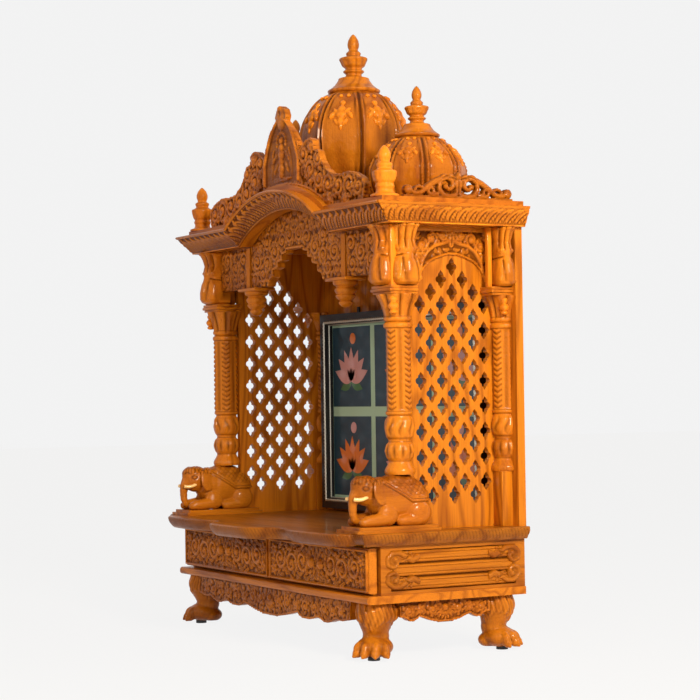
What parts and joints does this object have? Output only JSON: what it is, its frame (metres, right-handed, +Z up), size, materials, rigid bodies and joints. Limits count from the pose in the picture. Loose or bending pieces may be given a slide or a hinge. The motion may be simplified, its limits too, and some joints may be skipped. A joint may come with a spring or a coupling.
{
  "type": "household shrine cabinet",
  "caption": "Carved teak household shrine with domed roof, lattice sides, elephant columns, two drawers and claw feet.",
  "frame": {"origin": "centre of the footprint of the whole part, on the floor", "axes": "+X to the right seen from the front, +Y to the back, +Z up; the open front faces -Y"},
  "size_m": [1.094, 0.5528, 1.518],
  "materials": {
    "teak": "gloss varnish",
    "teak_carved": "gloss varnish over carving",
    "teak_plain": "matt",
    "tusk": "pale gloss",
    "pad_rubber": "matt",
    "frame_black": "gloss black moulding",
    "print_paper": "printed paper",
    "hook_metal": "black enamel"
  },
  "bodies": {
    "shrine": {"apron_back": "teak", "apron_front": "teak_carved", "apron_left": "teak_carved", "apron_right": "teak_carved", "arch_board": "teak_carved", "arch_hood": "teak_carved", "back_panel": "teak", "base_ledge": "teak", "bracket_left": "teak_carved", "bracket_right": "teak_carved", "case_back": "teak", "case_divider": "teak_plain", "case_left": "teak", "case_right": "teak", "column_left": "teak_carved", "column_right": "teak_carved", "corner_finials": "teak_carved", "cornice": "teak_carved", "deck": "teak", "dome_drum": "teak", "elephant_left": "teak_carved", "elephant_plates": "teak", "elephant_right": "teak_carved", "foot_back_left": "teak_carved", "foot_back_right": "teak_carved", "foot_front_left": "teak_carved", "foot_front_right": "teak_carved", "front_crest": "teak_carved", "glide_pads": "pad_rubber", "jali_left": "teak", "jali_right": "teak", "main_dome": "teak", "main_finial": "teak_carved", "pendants": "teak_carved", "picture_frame": "frame_black", "picture_hooks": "hook_metal", "picture_prints": "print_paper", "rear_brackets": "teak_carved", "rear_columns": "teak_carved", "roof_slab": "teak", "side_crests": "teak_carved", "small_domes": "teak", "small_finials": "teak_carved", "spandrel_left": "teak_carved", "spandrel_right": "teak_carved", "tusks": "tusk"},
    "drawer_left": {"drawer_front_left": "teak_carved", "drawer_box_left": "teak_plain"},
    "drawer_right": {"drawer_front_right": "teak_carved", "drawer_box_right": "teak_plain"}
  },
  "joints": [
    {"name": "drawer_left_slide", "type": "slide", "parent": "shrine", "child": "drawer_left", "axis": [0, -1, 0], "range_m": [0, 0.24]},
    {"name": "drawer_right_slide", "type": "slide", "parent": "shrine", "child": "drawer_right", "axis": [0, -1, 0], "range_m": [0, 0.24]}
  ]
}
